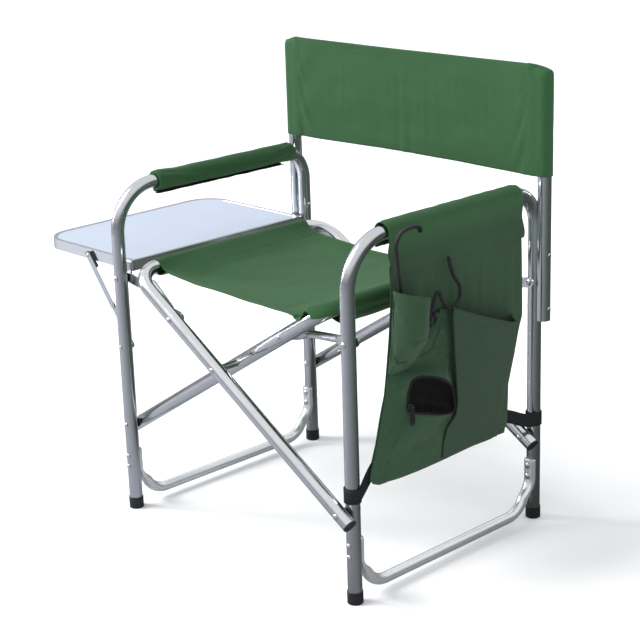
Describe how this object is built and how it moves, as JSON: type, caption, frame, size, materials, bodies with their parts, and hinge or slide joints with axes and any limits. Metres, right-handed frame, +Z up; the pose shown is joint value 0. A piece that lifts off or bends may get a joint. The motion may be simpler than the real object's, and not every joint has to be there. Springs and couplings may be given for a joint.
{
  "type": "folding director chair",
  "caption": "Folding director chair with crossed seat tubes, fabric seat and back, a fold-down side table and a hanging fabric organizer.",
  "frame": {"origin": "on the floor, under the middle of the whole outline with the table out", "axes": "+Z up; the sitter faces -Y; +X is the sitter's left, the organizer side; the table is on the -X side"},
  "size_m": [0.9469, 0.5578, 0.838],
  "materials": {
    "polished_tube": "satin polished tube",
    "rivets": "plain rivet metal",
    "braces": "pressed strip, lightly brushed",
    "black_plastic": "moulded black plastic",
    "green_fabric": "plain woven polyester, dark green",
    "black_webbing": "ribbed black webbing",
    "table_sheet": "smooth pale coated sheet",
    "table_rim": "bright extruded rim"
  },
  "bodies": {
    "frame_l": {"side_frame_l": "polished_tube", "foot_caps_l": "black_plastic", "stretcher_l": "polished_tube", "stretcher_rivets_l": "rivets", "back_post_l": "polished_tube", "post_rivets_l": "rivets", "leg_pivots_l": "rivets", "pivot_spacers_l": "black_plastic", "link_pivots_l": "rivets", "back_sleeve_l": "green_fabric", "back_panel": "green_fabric", "arm_cover_l": "green_fabric", "organizer_panel": "green_fabric", "bottle_pouch": "green_fabric", "magazine_pocket": "green_fabric", "zip_pocket": "green_fabric", "zip_tape": "black_webbing", "elastic_cord": "black_webbing", "strap_front": "black_webbing", "strap_rear": "black_webbing"},
    "frame_r": {"side_frame_r": "polished_tube", "foot_caps_r": "black_plastic", "stretcher_r": "polished_tube", "stretcher_rivets_r": "rivets", "back_post_r": "polished_tube", "post_rivets_r": "rivets", "leg_pivots_r": "rivets", "pivot_spacers_r": "black_plastic", "link_pivots_r": "rivets", "brace_pivots": "rivets", "back_sleeve_r": "green_fabric", "arm_pad_r": "green_fabric", "arm_strip_r": "black_webbing"},
    "x_tube_r": {"x_tube_r": "polished_tube", "x_plugs_r": "black_plastic", "cross_pivots": "rivets", "cross_spacers": "black_plastic", "link_studs_r": "rivets", "seat_sleeve_r": "green_fabric", "seat_panel": "green_fabric"},
    "x_tube_l": {"x_tube_l": "polished_tube", "x_plugs_l": "black_plastic", "link_studs_l": "rivets", "seat_sleeve_l": "green_fabric"},
    "links_l": {"link_front_l": "polished_tube", "link_rear_l": "polished_tube"},
    "links_r": {"link_front_r": "polished_tube", "link_rear_r": "polished_tube"},
    "table": {"table_top": "table_sheet", "table_rim": "table_rim", "table_brackets": "braces", "brace_studs": "rivets", "brace_blocks": "black_plastic"},
    "brace_upper": {"brace_upper": "braces", "knee_rivets": "rivets"},
    "brace_lower": {"brace_lower": "braces"},
    "zip_slider": {"zip_slider": "black_plastic"}
  },
  "joints": [
    {"name": "fold", "type": "hinge", "parent": "frame_l", "child": "x_tube_r", "pos_m": [0.3945, 0, 0.169], "axis": [0, 1, 0], "range_deg": [0, 49.49], "deforming": ["seat_panel", "back_panel"]},
    {"name": "scissor", "type": "hinge", "parent": "x_tube_r", "child": "x_tube_l", "pos_m": [0.0985, 0, 0.354], "axis": [0, 1, 0], "range_deg": [-99.01, 0]},
    {"name": "frame_r_pivot", "type": "hinge", "parent": "x_tube_l", "child": "frame_r", "pos_m": [-0.1975, 0, 0.169], "axis": [0, 1, 0], "range_deg": [0, 49.51]},
    {"name": "link_l_turn", "type": "hinge", "parent": "frame_l", "child": "links_l", "pos_m": [0.3945, 0, 0.457], "axis": [0, 1, 0], "range_deg": [0, 90.53]},
    {"name": "link_r_turn", "type": "hinge", "parent": "frame_r", "child": "links_r", "pos_m": [-0.1975, 0, 0.457], "axis": [0, 1, 0], "range_deg": [-90.53, 0]},
    {"name": "table_fold", "type": "hinge", "parent": "frame_r", "child": "table", "pos_m": [-0.1975, 0, 0.457], "axis": [0, -1, 0], "range_deg": [0, 90]},
    {"name": "brace_upper_turn", "type": "hinge", "parent": "table", "child": "brace_upper", "pos_m": [-0.3145, 0, 0.477], "axis": [0, -1, 0], "range_deg": [-98.5, 0]},
    {"name": "brace_lower_turn", "type": "hinge", "parent": "frame_r", "child": "brace_lower", "pos_m": [-0.1975, 0, 0.324], "axis": [0, -1, 0], "range_deg": [0, 164.92]},
    {"name": "zip_slide", "type": "slide", "parent": "frame_l", "child": "zip_slider", "axis": [0, 0.9578, -0.2873], "range_m": [0, 0.1]}
  ],
  "couplings": [
    {"joint": "scissor", "follows": "fold", "ratio": -2},
    {"joint": "frame_r_pivot", "follows": "fold", "ratio": 1},
    {"joint": "link_l_turn", "follows": "fold", "ratio": 1.8288},
    {"joint": "link_r_turn", "follows": "fold", "ratio": -1.8288},
    {"joint": "brace_upper_turn", "follows": "table_fold", "ratio": -1.0942},
    {"joint": "brace_lower_turn", "follows": "table_fold", "ratio": 1.8323}
  ]
}
